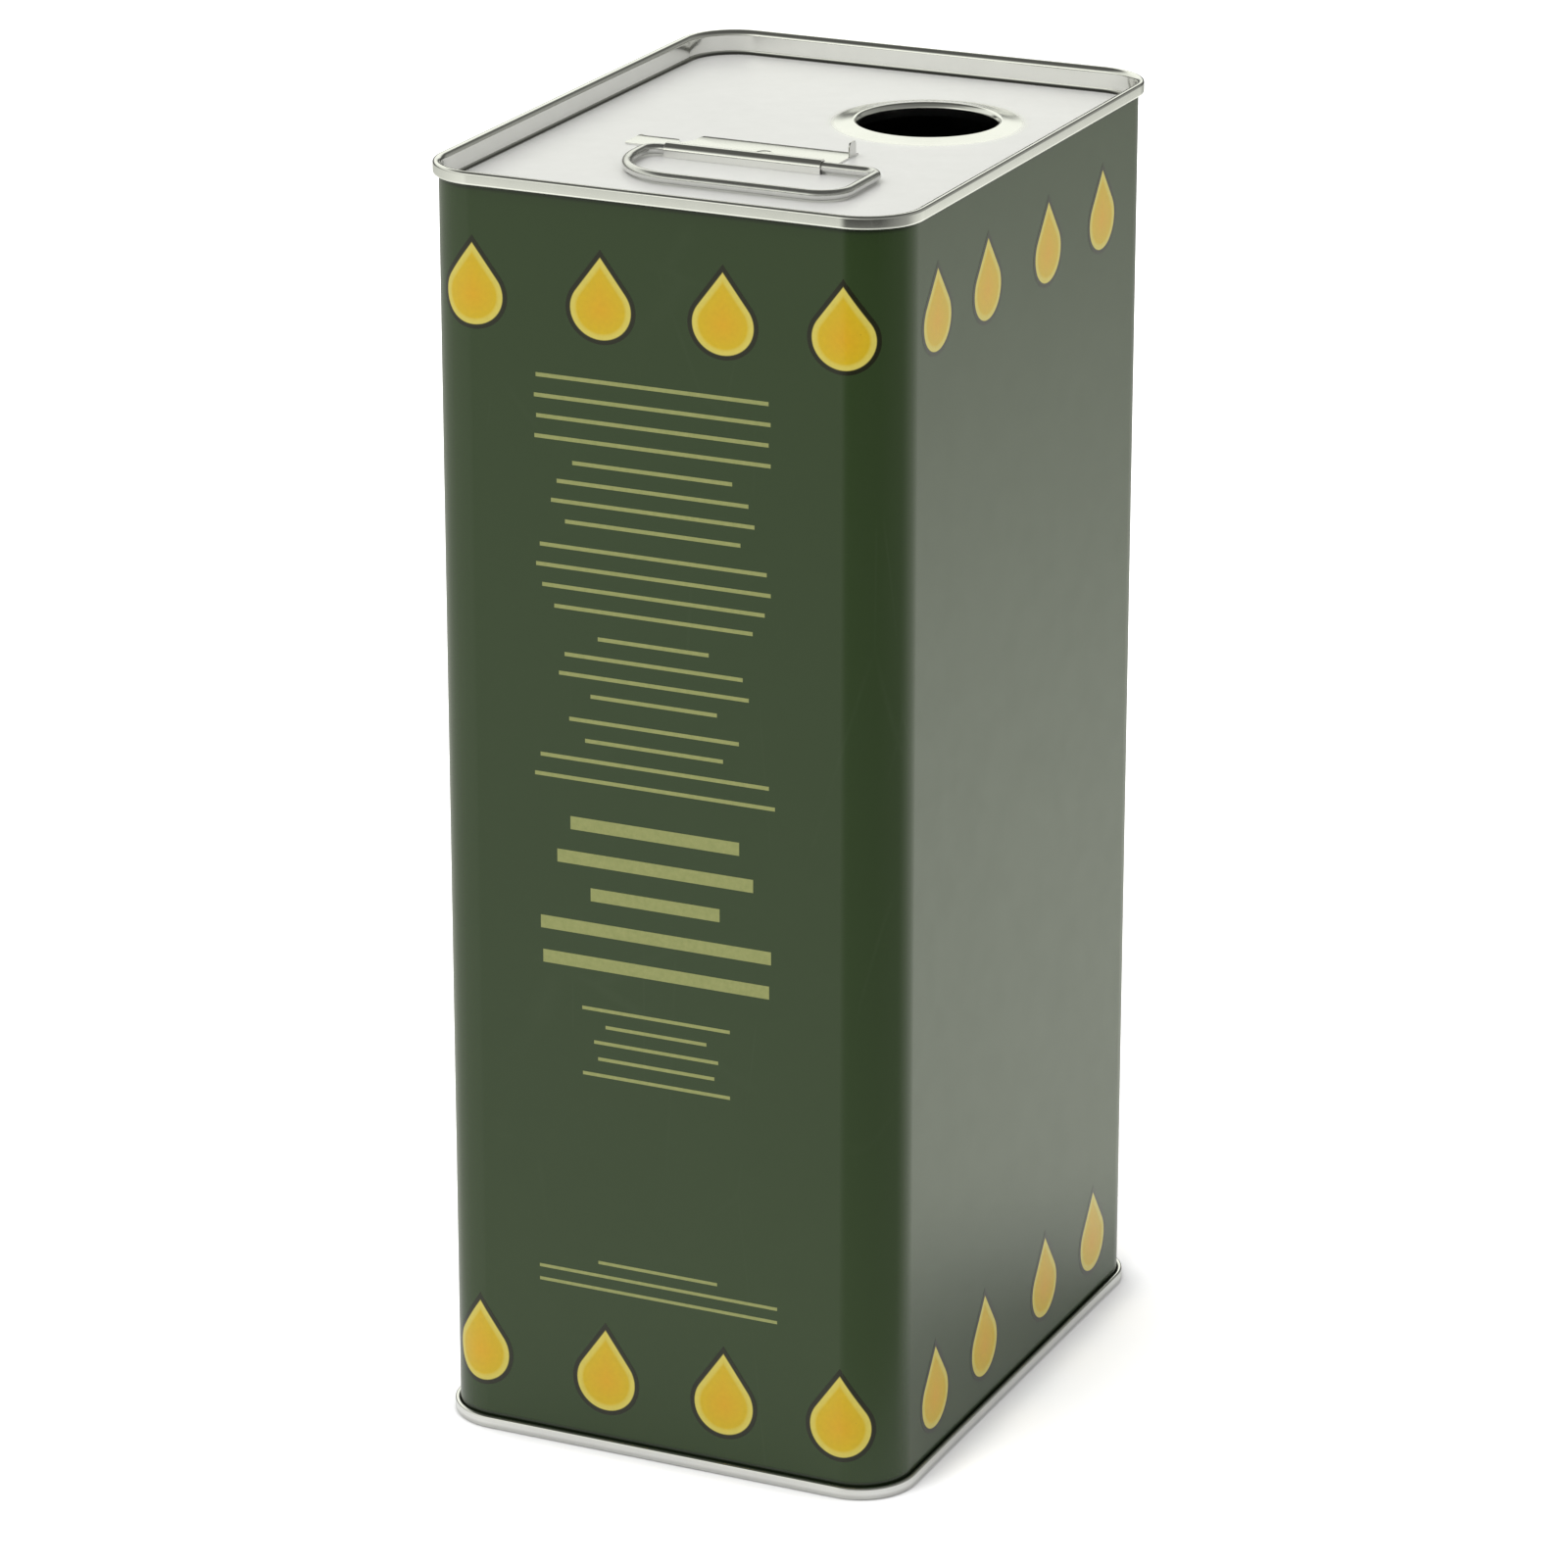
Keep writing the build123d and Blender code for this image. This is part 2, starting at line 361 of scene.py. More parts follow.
# Painted shade darkens the print in a narrow band where it goes in under each seam.
off_middle = reckoned(add, "SUBTRACT", axes["Z"], can_height / 2)
up_or_down = reckoned(add, "ABSOLUTE", off_middle)
seam_shade = graded(
    add, up_or_down, 1.0, seam_shade_tone, start=can_height / 2 - seam_shade_end, end=can_height / 2 - seam_shade_start
)
ink_seam_shaded = add(
    "ShaderNodeVectorMath", {"operation": "SCALE"},
    {0: ink_scuffed.outputs[2], "Scale": seam_shade},
)
metal_or_ink = add(
    "ShaderNodeMix", {"data_type": "RGBA", 6: (0.62, 0.62, 0.60, 1.0)},
    {0: ink_mark, 7: ink_seam_shaded.outputs[0]},
)
bare = reckoned(add, "SUBTRACT", 1.0, ink_mark)
gloss = graded(add, cloud.outputs["Mottle"], 0.16, 0.26)
waves = add("ShaderNodeBump", {"Strength": 0.25, "Distance": 0.0006}, {"Height": cloud.outputs["Cloud"]})
fine = add(
    "ShaderNodeBump", {"Strength": 0.12, "Distance": 0.00005},
    {"Height": cloud.outputs["Mottle"], "Normal": waves.outputs[0]},
)
cut = add(
    "ShaderNodeBump", {"Strength": 0.1, "Distance": 0.00003},
    {"Height": scuff.outputs["Height"], "Normal": fine.outputs[0]},
)
dress(shader, links, metal_or_ink.outputs[2], gloss, cut.outputs[0])
links.new(bare, shader.inputs["Metallic"])

outline_settings = {
    "Width": can_width, "Depth": can_depth, "Corner Radius": corner_radius, "Corner Steps": corner_steps,
}
wrap_middle = -wrap_sheet / 2
inner_face, outer_face = bent_sheet(
    [
        (wrap_hook_n, wrap_hook_tip_below_top),
        (wrap_hook_n, wrap_rim_below_top),
        (wrap_middle, wrap_rim_below_top),
        (wrap_middle, can_height - wrap_rim_below_top),
        (wrap_hook_n, can_height - wrap_rim_below_top),
        (wrap_hook_n, can_height - wrap_hook_tip_below_top),
    ],
    [wrap_hook_bend] * 4,
    wrap_sheet,
    sheet_bend_steps,
)
wrap_loop = inner_face + outer_face[::-1]
wrap_ink = [0.0] * len(inner_face) + [1.0] * len(outer_face)
wrap_mesh = grow(
    round_can_tree, section_mesh("wrap_section", [(wrap_loop, wrap_ink, True)]),
    {**outline_settings, "Finish": print_green},
)
make_piece("printed_wrap", wrap_mesh, "can", ["body_shell"])


# Side weld. The wrap's two edges overlap down the middle of the left side and are rolled
# together by a seam welder, which leaves a narrow proud strip with fine ripples across it.
weld_width = 1.0 * MM
weld_proud = 0.15 * MM
weld_bottom = 3.5 * MM
weld_top = can_height - weld_bottom
weld_round_steps = 8
weld_runs = 60

weld_steel, shader, add, links = new_finish("weld_steel")
place = add("ShaderNodeTexCoord").outputs["Object"]
cloud = add("ShaderNodeGroup", {"node_tree": sheet_cloud, "Scale": 30.0}, {"Vector": place})
ripples = add(
    "ShaderNodeTexWave",
    {"wave_type": "BANDS", "bands_direction": "Z", "Scale": 320.0, "Distortion": 1.5, "Detail": 2.0},
    {"Vector": place},
)
tone = blended(add, cloud.outputs["Mottle"], (0.30, 0.31, 0.33), (0.52, 0.52, 0.51))
gloss = graded(add, cloud.outputs["Mottle"], 0.32, 0.5)
ridged = add("ShaderNodeBump", {"Strength": 0.4, "Distance": 0.00005}, {"Height": ripples.outputs["Fac"]})
dress(shader, links, tone, gloss, ridged.outputs[0])
shader.inputs["Metallic"].default_value = 1.0

weld_form = bmesh.new()
weld_rings = []
for run in range(weld_runs + 1):
    height = weld_bottom + (weld_top - weld_bottom) * run / weld_runs
    ring = [
        weld_form.verts.new((
            -can_width / 2 - weld_proud * math.sin(math.pi * step / weld_round_steps) ** 0.6,
            weld_width / 2 * math.cos(math.pi * step / weld_round_steps),
            height,
        ))
        for step in range(weld_round_steps + 1)
    ]
    ring += [
        weld_form.verts.new((-can_width / 2 + wrap_sheet / 2, side * weld_width / 2, height))
        for side in (-1, 1)
    ]
    weld_rings.append(ring)
for lower, upper in zip(weld_rings, weld_rings[1:]):
    for step in range(len(lower)):
        after = (step + 1) % len(lower)
        weld_form.faces.new((lower[step], lower[after], upper[after], upper[step]))
weld_form.faces.new(weld_rings[0])
weld_form.faces.new(weld_rings[-1])
bmesh.ops.recalc_face_normals(weld_form, faces=weld_form.faces)
for face in weld_form.faces:
    face.smooth = True
weld_mesh = bpy.data.meshes.new("side_weld")
weld_form.to_mesh(weld_mesh)
weld_form.free()
weld_mesh.materials.append(weld_steel)
make_piece("side_weld", weld_mesh, "can", ["body_shell"])


# Printed drops. Two rows of plain oil drops run round the can, one under the upper seam and one
# over the foot, in gold with a pale edge and a dark line; the outer ones bend round the corners.
drop_round = 7.75 * MM
drop_length = 21.2 * MM
drop_line = 1.0 * MM
ink_lift = 0.03 * MM
drop_rings = [0.0, 0.07, 0.14, 0.2, 0.265, 0.42, 0.58, 0.72, 0.84, 0.94]
drop_points = 56
corner_length = corner_radius * math.pi / 2
front_middle = 3 * corner_length + 1.5 * (can_width - 2 * corner_radius) + can_depth - 2 * corner_radius
left_middle = front_middle - (can_width + can_depth) / 2 + 2 * corner_radius - corner_length
back_middle = left_middle - (can_width + can_depth) / 2 + 2 * corner_radius - corner_length
right_middle = front_middle + (can_width + can_depth) / 2 - 2 * corner_radius + corner_length
# Each place is along the face from its middle, then up from the foot; the upper drops are shorter.
front_upper_places = [(-45.5, 274.3), (-13.3, 274.3), (17.0, 274.3), (46.3, 274.3)]
front_lower_places = [(-48.0, 11.8), (-14.6, 10.2), (16.3, 10.0), (46.3, 10.0)]
side_upper_places = [(-53.0, 274.3), (-24.5, 274.3), (11.0, 274.3), (44.0, 274.3)]
side_lower_places = [(-49.2, 8.8), (-19.5, 9.8), (18.0, 10.0), (49.0, 10.0)]
upper_drop_tall = 0.92


def varnish(add, cloud):
    """Gloss of varnished printing, and the fine relief of its skin."""
    skin = add("ShaderNodeBump", {"Strength": 0.12, "Distance": 0.00005}, {"Height": cloud.outputs["Mottle"]})
    return graded(add, cloud.outputs["Mottle"], 0.16, 0.26), skin.outputs[0]


drop_ink, shader, add, links = new_finish("drop_ink")
place = add("ShaderNodeTexCoord").outputs["Object"]
cloud = add("ShaderNodeGroup", {"node_tree": sheet_cloud, "Scale": 60.0}, {"Vector": place})
depth_in = add("ShaderNodeAttribute", {"attribute_name": "depth_in"}).outputs["Fac"]
bands = add("ShaderNodeValToRGB", wires={"Fac": depth_in})
stops = [
    (0.0, (0.014, 0.020, 0.002, 1.0)),
    (0.03, (0.008, 0.010, 0.001, 1.0)),
    (0.12, (0.012, 0.012, 0.001, 1.0)),
    (0.15, (0.62, 0.53, 0.10, 1.0)),
    (0.25, (0.62, 0.51, 0.075, 1.0)),
    (0.33, (0.60, 0.41, 0.004, 1.0)),
    (1.0, (0.66, 0.365, 0.004, 1.0)),
]
while len(bands.color_ramp.elements) < len(stops):
    bands.color_ramp.elements.new(0.5)
for element, (position, colour) in zip(bands.color_ramp.elements, stops):
    element.position = position
    element.color = colour
dots = add("ShaderNodeTexNoise", {"Scale": 900.0, "Detail": 2.0}, {"Vector": place})
grained = graded(add, dots.outputs[0], 0.93, 1.06)
tone = add("ShaderNodeVectorMath", {"operation": "SCALE"}, {0: bands.outputs[0], "Scale": grained})
dress(shader, links, tone.outputs[0], *varnish(add, cloud))

# Flat motifs are set out on the unrolled wrap, distance round the can against height, and bent on.
print_tree, tree_in, tree_out = new_tree("print_round_can", outline_inputs + [("Motif", "Object")])
motif = print_tree.nodes.new("GeometryNodeObjectInfo")
sizes = print_tree.nodes.new("GeometryNodeInputNamedAttribute")
sizes.data_type = "FLOAT_VECTOR"
sizes.inputs["Name"].default_value = "motif_scale"
stamp = print_tree.nodes.new("GeometryNodeInstanceOnPoints")
loose = print_tree.nodes.new("GeometryNodeRealizeInstances")
where = print_tree.nodes.new("GeometryNodeInputPosition")
flat = print_tree.nodes.new("ShaderNodeSeparateXYZ")
along = print_tree.nodes.new("GeometryNodeSampleCurve")
along.mode = "LENGTH"
out_by = print_tree.nodes.new("ShaderNodeVectorMath")
out_by.operation = "SCALE"
up_by = print_tree.nodes.new("ShaderNodeCombineXYZ")
on_face = print_tree.nodes.new("ShaderNodeVectorMath")
at_height = print_tree.nodes.new("ShaderNodeVectorMath")
bend_on = print_tree.nodes.new("GeometryNodeSetPosition")
for source, socket in (
    (tree_in.outputs["Motif"], motif.inputs["Object"]),
    (tree_in.outputs["Geometry"], stamp.inputs["Points"]),
    (motif.outputs["Geometry"], stamp.inputs["Instance"]),
    (sizes.outputs["Attribute"], stamp.inputs["Scale"]),
    (stamp.outputs[0], loose.inputs[0]),
    (where.outputs[0], flat.inputs[0]),
    (can_outline(print_tree, tree_in), along.inputs["Curves"]),
    (flat.outputs["X"], along.inputs["Length"]),
    (along.outputs["Normal"], out_by.inputs[0]),
    (flat.outputs["Z"], out_by.inputs["Scale"]),
    (flat.outputs["Y"], up_by.inputs["Z"]),
    (along.outputs["Position"], on_face.inputs[0]),
    (out_by.outputs[0], on_face.inputs[1]),
    (on_face.outputs[0], at_height.inputs[0]),
    (up_by.outputs[0], at_height.inputs[1]),
    (loose.outputs[0], bend_on.inputs["Geometry"]),
    (at_height.outputs[0], bend_on.inputs["Position"]),
):
    print_tree.links.new(source, socket)
finish_tree(print_tree, tree_in, tree_out, bend_on.outputs[0])


def print_on(places, motif_mesh, ink):
    """Mesh of one flat motif printed at each place: (distance round, height, width, height scale)."""
    sheet = bpy.data.meshes.new("places")
    sheet.from_pydata([(round_by, height, 0.0) for round_by, height, _, _ in places], [], [])
    scales = [value for _, _, wide, tall in places for value in (wide, tall, 1.0)]
    sheet.attributes.new("motif_scale", "FLOAT_VECTOR", "POINT").data.foreach_set("vector", scales)
    stamp_object = bpy.data.objects.new("motif", motif_mesh)
    bpy.context.scene.collection.objects.link(stamp_object)
    mesh = grow(print_tree, sheet, {**outline_settings, "Motif": stamp_object, "Finish": ink})
    bpy.data.objects.remove(stamp_object)
    return mesh


def drop_ring(share):
    """One ring of a drop, at a share of the way in from the dark line's outer edge to the middle."""
    size = (1 - share) * (1 + drop_line / drop_round)
    middle = drop_round
    peak = drop_length - drop_round
    touch = math.asin(drop_round / peak)
    points = []
    for step in range(drop_points):
        turn = 2 * math.pi * step / drop_points
        # Angle from straight down; past the tangent points the outline runs straight to the tip.
        side = math.pi - abs(math.pi - turn)
        if side <= math.pi / 2 + touch:
            radius = drop_round
        else:
            radius = drop_round / math.cos(side - math.pi / 2 - touch)
        points.append((math.sin(turn) * radius * size, middle - math.cos(turn) * radius * size))
    return points


drop_form = bmesh.new()
depth_layer = drop_form.verts.layers.float.new("depth_in")
for lift, order in ((ink_lift, 1), (-ink_lift, -1)):
    rings = []
    for share in drop_rings:
        rings.append([drop_form.verts.new((x, y, lift)) for x, y in drop_ring(share)])
        for vertex in rings[-1]:
            vertex[depth_layer] = share
    centre = drop_form.verts.new((0.0, drop_round, lift))
    centre[depth_layer] = 1.0
    for outer_ring, inner_ring in zip(rings, rings[1:]):
        for step in range(drop_points):
            after = (step + 1) % drop_points
            corners = (outer_ring[step], outer_ring[after], inner_ring[after], inner_ring[step])
            drop_form.faces.new(corners[::order])
    for step in range(drop_points):
        drop_form.faces.new((rings[-1][step], rings[-1][(step + 1) % drop_points], centre)[::order])
    if order == 1:
        upper_edge = rings[0]
for step in range(drop_points):
    after = (step + 1) % drop_points
    drop_form.faces.new((upper_edge[after], upper_edge[step], rings[0][step], rings[0][after]))
drop_mesh = bpy.data.meshes.new("drop")
drop_form.to_mesh(drop_mesh)
drop_form.free()

drop_places = []
for middle, upper, lower in (
    (front_middle, front_upper_places, front_lower_places),
    (back_middle, front_upper_places, front_lower_places),
    (right_middle, side_upper_places, side_lower_places),
    (left_middle, side_upper_places, side_lower_places),
):
    drop_places += [(middle + x * MM, z * MM, 1.0, upper_drop_tall) for x, z in upper]
    drop_places += [(middle + x * MM, z * MM, 1.0, 1.0) for x, z in lower]
make_piece("printed_drops", print_on(drop_places, drop_mesh, drop_ink), "can")


# Printed rules. Plain pale lines in centred groups fill the middle of the front face, fine ones
# above and below a group of heavy ones.

# Each group is the height of its first line, the pitch, the lines' thickness and their widths.
rule_groups = [
    (264.6, 4.8, 0.95, [58, 59, 58, 59]),
    (244.8, 4.7, 0.95, [40, 48, 51, 44]),
    (224.6, 4.8, 0.95, [57, 59, 56, 50]),
    (203.6, 4.7, 0.95, [28, 45, 48, 32]),
    (183.4, 4.8, 0.95, [43, 35, 58, 61]),
    (158.0, 8.5, 3.2, [43, 50, 33, 59, 58]),
    (112.6, 4.1, 0.85, [38, 26, 32, 30, 38]),
    (48.4, 3.4, 0.8, [31, 62, 62]),
]
rule_centre_x = -0.8

rule_ink, shader, add, links = new_finish("rule_ink")
place = add("ShaderNodeTexCoord").outputs["Object"]
cloud = add("ShaderNodeGroup", {"node_tree": sheet_cloud, "Scale": 60.0}, {"Vector": place})
tone = blended(add, cloud.outputs["Mottle"], (0.22, 0.25, 0.075), (0.33, 0.34, 0.12))
dress(shader, links, tone, *varnish(add, cloud))

rule_form = bmesh.new()
bmesh.ops.create_cube(rule_form, size=1.0)
bmesh.ops.scale(rule_form, vec=(MM, MM, 2 * ink_lift), verts=rule_form.verts)
rule_mesh = bpy.data.meshes.new("rule")
rule_form.to_mesh(rule_mesh)
rule_form.free()
rule_places = [
    (front_middle + rule_centre_x * MM, (top - row * pitch) * MM, width, thickness)
    for top, pitch, thickness, widths in rule_groups
    for row, width in enumerate(widths)
]
make_piece("printed_rules", print_on(rule_places, rule_mesh, rule_ink), "can")


# Pressed ends. Each is stamped from bright tinplate with a countersunk panel, and its edge is
# rolled over the wrap's hook into a double seam about 3 mm high, which stands proud all round.
end_sheet = 0.36 * MM
countersink = 6.0 * MM
chuck_bend = 1.4 * MM
panel_landing = 3.0 * MM
seam_height = 3.1 * MM
seam_inner_shoulder = 1.2 * MM
seam_outer_shoulder = 0.5 * MM
hook_bend = 0.4 * MM
chuck_n = -0.60 * MM
seaming_wall_n = 1.16 * MM
end_hook_n = 0.28 * MM
end_hook_tip_below_top = 1.33 * MM
panel_middle = can_height - countersink - end_sheet / 2
panel_edge_n = chuck_n - chuck_bend - panel_landing

# The pouring hole is pressed up into a low ring that falls in to a straight lip.
hole_radius = 16.5 * MM
hole_x = 20.0 * MM
hole_y = 30.0 * MM
ring_foot = 22.6 * MM
ring_crest = 17.2 * MM
ring_height = 1.0 * MM
funnel_drop = 1.05 * MM
lip_length = 2.1 * MM
ring_bends = [1.0 * MM, 0.6 * MM, 30.0 * MM]
ring_steps = 96

# The polish of the ring fades out between these distances from the hole's middle.
polish_fade_start = ring_foot - 2.0 * MM
polish_fade_end = ring_foot + 0.6 * MM

# What stands off the panel is polished in full from the second height on.
raised_start = 0.02 * MM
raised_end = 0.2 * MM

# Painted shade darkens the recess's angle and the foot's lowest edge, and fades out at these heights. The
# angle begins this far out from the can's middle.
angle_shade_height = 0.5 * MM
angle_shade_fade_end = 1.1 * MM
angle_shade_strength = 0.75
angle_x = 53.0 * MM
angle_y = 71.0 * MM
foot_shade_height = 0.8 * MM
foot_shade_end = 1.6 * MM
foot_shade_strength = 0.35

bright_tin, shader, add, links = new_finish("bright_tinplate")
place = add("ShaderNodeTexCoord").outputs["Object"]
cloud = add("ShaderNodeGroup", {"node_tree": sheet_cloud, "Scale": 14.0}, {"Vector": place})
scuff = add(
    "ShaderNodeGroup", {"node_tree": scratches, "Scale": 90.0, "Amount": 0.12}, {"Vector": place}
)
rolled = add("ShaderNodeMapping", {"Scale": (1.0, 0.03, 1.0)}, {"Vector": place})
grain = add("ShaderNodeTexNoise", {"Scale": 2600.0, "Detail": 3.0}, {"Vector": rolled.outputs[0]})
tone = blended(add, cloud.outputs["Mottle"], (0.79, 0.79, 0.765), (0.87, 0.87, 0.845))
satin = graded(add, cloud.outputs["Mottle"], 0.36, 0.44)
polish = graded(add, cloud.outputs["Mottle"], 0.10, 0.17)
# The press and the seaming rolls leave all that stands off the flat panel polished.
axes = add("ShaderNodeSeparateXYZ", wires={0: place}).outputs
off_middle = reckoned(add, "SUBTRACT", axes["Z"], can_height / 2)
up_or_down = reckoned(add, "ABSOLUTE", off_middle)
above_panel = reckoned(add, "SUBTRACT", up_or_down, can_height / 2 - countersink)
off_panel = reckoned(add, "ABSOLUTE", above_panel)
raised = graded(add, off_panel, 0.0, 1.0, start=raised_start, end=raised_end)
in_plan = add("ShaderNodeCombineXYZ", wires={"X": axes["X"], "Y": axes["Y"]})
off_hole = add(
    "ShaderNodeVectorMath", {"operation": "DISTANCE", 1: (hole_x, hole_y, 0.0)}, {0: in_plan.outputs[0]}
)
drawn = graded(add, off_hole.outputs["Value"], 1.0, 0.0, start=polish_fade_start, end=polish_fade_end)
upper_end = reckoned(add, "GREATER_THAN", axes["Z"], can_height / 2)
pressed = reckoned(add, "MAXIMUM", raised, reckoned(add, "MULTIPLY", drawn, upper_end))
gloss = add("ShaderNodeMix", {"data_type": "FLOAT"}, {0: pressed, 2: satin, 3: polish})
bare = graded(add, pressed, 0.22, 1.0)
scuffed = reckoned(add, "MULTIPLY_ADD", scuff.outputs["Mask"], 0.25, gloss.outputs[0])
waves = add("ShaderNodeBump", {"Strength": 0.15, "Distance": 0.0005}, {"Height": cloud.outputs["Cloud"]})
lines = add(
    "ShaderNodeBump", {"Strength": 0.08, "Distance": 0.00003},
    {"Height": grain.outputs[0], "Normal": waves.outputs[0]},
)
cut = add(
    "ShaderNodeBump", {"Strength": 0.12, "Distance": 0.00004},
    {"Height": scuff.outputs["Height"], "Normal": lines.outputs[0]},
)
# Painted shade darkens the sheet in the angle round the panel and on the lowest edge of the foot.
beside_x = reckoned(add, "SUBTRACT", reckoned(add, "ABSOLUTE", axes["X"]), angle_x)
beside_y = reckoned(add, "SUBTRACT", reckoned(add, "ABSOLUTE", axes["Y"]), angle_y)
at_wall = reckoned(add, "GREATER_THAN", reckoned(add, "MAXIMUM", beside_x, beside_y), 0.0)
angle_shade_fade = graded(add, off_panel, angle_shade_strength, 0.0, start=angle_shade_height, end=angle_shade_fade_end)
angle_shade = reckoned(add, "MULTIPLY", reckoned(add, "MULTIPLY", angle_shade_fade, raised), at_wall)
foot_shade = graded(add, axes["Z"], foot_shade_strength, 0.0, start=foot_shade_height, end=foot_shade_end)
painted_shade = reckoned(add, "MAXIMUM", angle_shade, foot_shade)
# The painted shade is a near-black grey mixed into the tinplate's colour by that mask.
shade_painted_tone = add(
    "ShaderNodeMix", {"data_type": "RGBA", 7: (0.07, 0.07, 0.055, 1.0)},
    {0: painted_shade, 6: tone},
)
dress(shader, links, shade_painted_tone.outputs[2], scuffed, cut.outputs[0])
links.new(bare, shader.inputs["Metallic"])

round_hole_tree, tree_in, tree_out = new_tree(
    "section_round_hole",
    [("Radius", "Float"), ("Steps", "Int"), ("Centre", "Vector"), ("Finish", "Material")],
)
section_curve = round_hole_tree.nodes.new("GeometryNodeMeshToCurve")
section_sweep = round_hole_tree.nodes.new("GeometryNodeCurveToMesh")
circle, turned = chain(
    round_hole_tree,
    ("GeometryNodeCurvePrimitiveCircle", 0, 0, {}),
    ("GeometryNodeSetCurveNormal", "Curve", 0, {"mode": "Z_UP"}),
)
moved = round_hole_tree.nodes.new("GeometryNodeTransform")
round_hole_tree.links.new(tree_in.outputs["Radius"], circle.inputs["Radius"])
round_hole_tree.links.new(tree_in.outputs["Steps"], circle.inputs["Resolution"])
round_hole_tree.links.new(tree_in.outputs["Geometry"], section_curve.inputs[0])
round_hole_tree.links.new(turned.outputs[0], section_sweep.inputs["Curve"])
round_hole_tree.links.new(section_curve.outputs[0], section_sweep.inputs["Profile Curve"])
round_hole_tree.links.new(section_sweep.outputs[0], moved.inputs["Geometry"])
round_hole_tree.links.new(tree_in.outputs["Centre"], moved.inputs["Translation"])
finish_tree(round_hole_tree, tree_in, tree_out, moved.outputs[0])


def pressed_end(with_hole):
    """Upper end as one closed sheet: seamed edge, chuck wall, panel, and the hole's ring."""
    under, over = bent_sheet(
        [
            (panel_edge_n, panel_middle),
            (chuck_n, panel_middle),
            (chuck_n, can_height - end_sheet / 2),
            (seaming_wall_n, can_height - end_sheet / 2),
            (seaming_wall_n, can_height - seam_height + end_sheet / 2),
            (end_hook_n, can_height - seam_height + end_sheet / 2),
            (end_hook_n, can_height - end_hook_tip_below_top),
        ],
        [chuck_bend, seam_inner_shoulder, seam_outer_shoulder, hook_bend, hook_bend],
        -end_sheet,
        sheet_bend_steps,
    )
    # The upper face runs from the panel outwards, so its faces look up; the lower one goes back.
    loop = over + under[::-1] if over[0].y > under[0].y else under + over[::-1]
    edge = section_mesh("end_section", [(loop, [0.0] * len(loop), False)])
    mesh = grow(round_can_tree, edge, {**outline_settings, "Finish": bright_tin})
    form = bmesh.new()
    form.from_mesh(mesh)
    if with_hole:
        crest_z = panel_middle + ring_height
        inside, outside = bent_sheet(
            [
                (end_sheet / 2, crest_z - funnel_drop - lip_length),
                (end_sheet / 2, crest_z - funnel_drop),
                (ring_crest - hole_radius, crest_z),
                (ring_foot - hole_radius, panel_middle),
                (ring_foot - hole_radius + panel_landing, panel_middle),
            ],
            ring_bends,
            end_sheet,
            sheet_bend_steps,
        )
        loop = outside[::-1] + inside if outside[-1].y < inside[-1].y else inside[::-1] + outside
        ring = grow(
            round_hole_tree,
            section_mesh("ring_section", [(loop, [0.0] * len(loop), False)]),
            {
                "Radius": hole_radius, "Steps": ring_steps, "Centre": (hole_x, hole_y, 0.0),
                "Finish": bright_tin,
            },
        )
        form.from_mesh(ring)
    bmesh.ops.recalc_face_normals(form, faces=form.faces)
    open_edges = [edge for edge in form.edges if edge.is_boundary]
    for height in (panel_middle + end_sheet / 2, panel_middle - end_sheet / 2):
        rims = [e for e in open_edges if all(abs(v.co.z - height) < end_sheet / 4 for v in e.verts)]
        bmesh.ops.triangle_fill(form, edges=rims, use_beauty=True, use_dissolve=False)
    bmesh.ops.recalc_face_normals(form, faces=form.faces)
    for face in form.faces:
        face.smooth = True
    form.to_mesh(mesh)
    form.free()
    return mesh


make_piece("top_end_pressing", pressed_end(True), "can", ["top_end"])
base_mesh = pressed_end(False)
for vertex in base_mesh.vertices:
    vertex.co = (vertex.co.x, -vertex.co.y, can_height - vertex.co.z)
make_piece("bottom_end_pressing", base_mesh, "can", ["bottom_end"])


# Sealing compound. A thin ring of grey rubber is cast inside each seam's crown, out of sight.
compound_rubber, shader, add, links = new_finish("seam_compound")
place = add("ShaderNodeTexCoord").outputs["Object"]
cloud = add("ShaderNodeGroup", {"node_tree": sheet_cloud, "Scale": 60.0}, {"Vector": place})
tone = blended(add, cloud.outputs["Mottle"], (0.10, 0.10, 0.10), (0.16, 0.16, 0.15))
gloss = graded(add, cloud.outputs["Cloud"], 0.55, 0.8)
skin = add("ShaderNodeBump", {"Strength": 0.2, "Distance": 0.00005}, {"Height": cloud.outputs["Mottle"]})
dress(shader, links, tone, gloss, skin.outputs[0])
for node in ("top_seam_compound", "bottom_seam_compound"):
    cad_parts[node].data.materials.clear()
    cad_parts[node].data.materials.append(compound_rubber)


# Handle strip. It is a narrow strip of tinplate spot-welded to the panel behind the bail, with
# its front edge rolled over the wire, a flat ear with a notch at the left and a small ear
# turned up at the right.
strip_edge_round = 0.06 * MM
strip_left_x = -22.0 * MM
strip_rear_y = -3.95 * MM
ear_rear_y = -8.95 * MM
strip_top_z = 304.4 * MM
pressed_width = 2.4 * MM
pressed_by = 0.22 * MM
edge_tolerance = 0.1 * MM
top_tolerance = 0.05 * MM
merge_distance = 0.001 * MM
flat_within = math.radians(1.0)
sharp_beyond = math.radians(50.0)
strip_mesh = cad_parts["handle_clip"].data.copy()
form = bmesh.new()
form.from_mesh(strip_mesh)
bmesh.ops.remove_doubles(form, verts=form.verts, dist=merge_distance)
bmesh.ops.dissolve_limit(form, angle_limit=flat_within, verts=form.verts, edges=form.edges)
